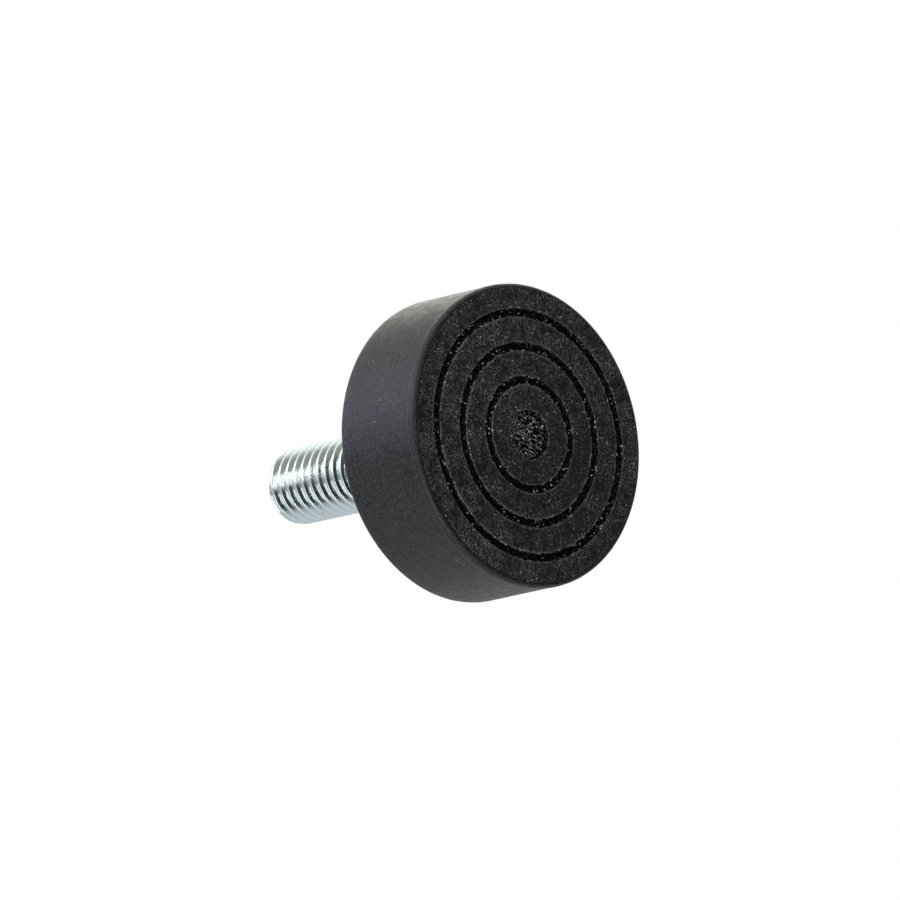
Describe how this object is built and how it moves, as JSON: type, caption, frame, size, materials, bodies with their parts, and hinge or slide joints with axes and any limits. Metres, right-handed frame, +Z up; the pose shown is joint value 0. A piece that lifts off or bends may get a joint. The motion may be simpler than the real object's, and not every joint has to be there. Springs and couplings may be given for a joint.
{
  "type": "washing machine foot",
  "caption": "Adjustable levelling foot: a grooved black rubber pad moulded round the head of a zinc-plated threaded stud, which screws up into a machine's base.",
  "frame": {"origin": "middle of the sole, on the plane that the foot stands on", "axes": "+Z up along the stud, away from the floor; +X and +Y lie in the sole's plane"},
  "size_m": [0.038, 0.038, 0.045],
  "materials": {
    "black_rubber": "matte, fine moulded grain",
    "zinc_plated_steel": "bright zinc plate"
  },
  "bodies": {
    "root": {"rubber_pad": "black_rubber", "threaded_stud": "zinc_plated_steel"}
  },
  "joints": []
}
